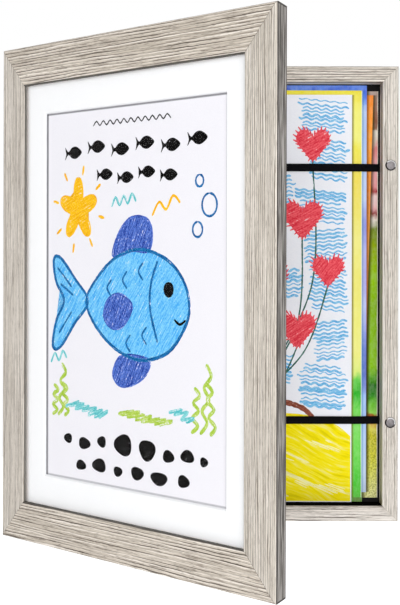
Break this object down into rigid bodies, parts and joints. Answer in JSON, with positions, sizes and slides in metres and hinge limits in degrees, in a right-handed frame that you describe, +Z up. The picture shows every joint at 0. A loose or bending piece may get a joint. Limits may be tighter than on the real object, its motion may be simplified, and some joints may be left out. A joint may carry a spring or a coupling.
{
  "type": "front-opening art frame",
  "caption": "Wall frame whose mitred front door, with glazing and a mat, swings on side hinges to open a shallow box that stores pictures behind elastic straps.",
  "frame": {"origin": "centre of the storage box's rear face, which faces the wall", "axes": "+Z up, +Y into the wall, +X to the viewer's right; the viewer looks along +Y"},
  "size_m": [0.3024, 0.2603, 0.3704],
  "materials": {
    "door_foil": "board moulding wrapped in light greige foil with an embossed straight grain, satin",
    "box_foil": "board moulding wrapped in light greige foil with an embossed straight grain, satin",
    "black_board": "thin fibreboard with a matt black face",
    "backing_board": "bare brown fibreboard, matt",
    "clear_sheet": "clear polished acrylic sheet",
    "mat_card": "white mat board with a bevelled white core, matt",
    "display_paper": null,
    "crayon_paper": null,
    "yellow_green_paper": "paper painted yellow to green, matt",
    "blue_paper": "paper with a blue watercolour wash, matt",
    "orange_paper": "orange paper, matt",
    "mixed_paper": "paper with bands of mixed watercolour, matt",
    "elastic": "black woven elastic, matt",
    "nickel": "nickel-plated steel, satin",
    "zinc_steel": "zinc-plated steel, satin",
    "soft_rubber": "moulded black rubber, matt"
  },
  "bodies": {
    "box": {"box_bottom_rail": "box_foil", "box_top_rail": "box_foil", "box_left_stile": "box_foil", "box_right_stile": "box_foil", "back_panel": "black_board", "panel_brad_top": "zinc_steel", "panel_brad_bottom": "zinc_steel", "panel_brad_upper_left": "zinc_steel", "panel_brad_lower_left": "zinc_steel", "panel_brad_upper_right": "zinc_steel", "panel_brad_lower_right": "zinc_steel", "top_hanger": "zinc_steel", "side_hanger": "zinc_steel", "bumper_upper_left": "soft_rubber", "bumper_upper_right": "soft_rubber", "bumper_lower_left": "soft_rubber", "bumper_lower_right": "soft_rubber", "upper_hinge_box_leaf": "nickel", "upper_hinge_pin": "nickel", "upper_hinge_box_screw_upper": "zinc_steel", "upper_hinge_box_screw_lower": "zinc_steel", "lower_hinge_box_leaf": "nickel", "lower_hinge_pin": "nickel", "lower_hinge_box_screw_upper": "zinc_steel", "lower_hinge_box_screw_lower": "zinc_steel", "upper_magnet": "nickel", "lower_magnet": "nickel", "upper_strap": "elastic", "lower_strap": "elastic", "stored_sheet_mixed": "mixed_paper", "stored_sheet_orange": "orange_paper", "stored_sheet_blue": "blue_paper", "stored_sheet_yellow_green": "yellow_green_paper", "stored_sheet_crayon": "crayon_paper"},
    "door": {"door_bottom_rail": "door_foil", "door_top_rail": "door_foil", "door_left_stile": "door_foil", "door_right_stile": "door_foil", "glazing": "clear_sheet", "mat_board": "mat_card", "display_page": "display_paper", "door_backing": "backing_board", "upper_strike": "nickel", "lower_strike": "nickel", "upper_hinge_door_leaf": "nickel", "upper_hinge_door_screw_upper": "zinc_steel", "upper_hinge_door_screw_lower": "zinc_steel", "lower_hinge_door_leaf": "nickel", "lower_hinge_door_screw_upper": "zinc_steel", "lower_hinge_door_screw_lower": "zinc_steel", "button_rivet_upper_left": "zinc_steel", "button_rivet_lower_left": "zinc_steel", "button_rivet_upper_right": "zinc_steel", "button_rivet_lower_right": "zinc_steel"},
    "upper_left_button": {"turn_button_upper_left": "zinc_steel"},
    "lower_left_button": {"turn_button_lower_left": "zinc_steel"},
    "upper_right_button": {"turn_button_upper_right": "zinc_steel"},
    "lower_right_button": {"turn_button_lower_right": "zinc_steel"}
  },
  "joints": [
    {"name": "door_hinge", "type": "hinge", "parent": "box", "child": "door", "pos_m": [-0.14475, -0.02175, 0], "axis": [0, 0, -1], "range_deg": [-50, 55]},
    {"name": "upper_left_turn", "type": "hinge", "parent": "door", "child": "upper_left_button", "pos_m": [-0.12687, -0.04897, 0.095], "axis": [0.766, 0.6428, 0], "continuous": true},
    {"name": "lower_left_turn", "type": "hinge", "parent": "door", "child": "lower_left_button", "pos_m": [-0.12687, -0.04897, -0.095], "axis": [0.766, 0.6428, 0], "continuous": true},
    {"name": "upper_right_turn", "type": "hinge", "parent": "door", "child": "upper_right_button", "pos_m": [0.01763, -0.22118, 0.095], "axis": [0.766, 0.6428, 0], "continuous": true},
    {"name": "lower_right_turn", "type": "hinge", "parent": "door", "child": "lower_right_button", "pos_m": [0.01763, -0.22118, -0.095], "axis": [0.766, 0.6428, 0], "continuous": true}
  ]
}
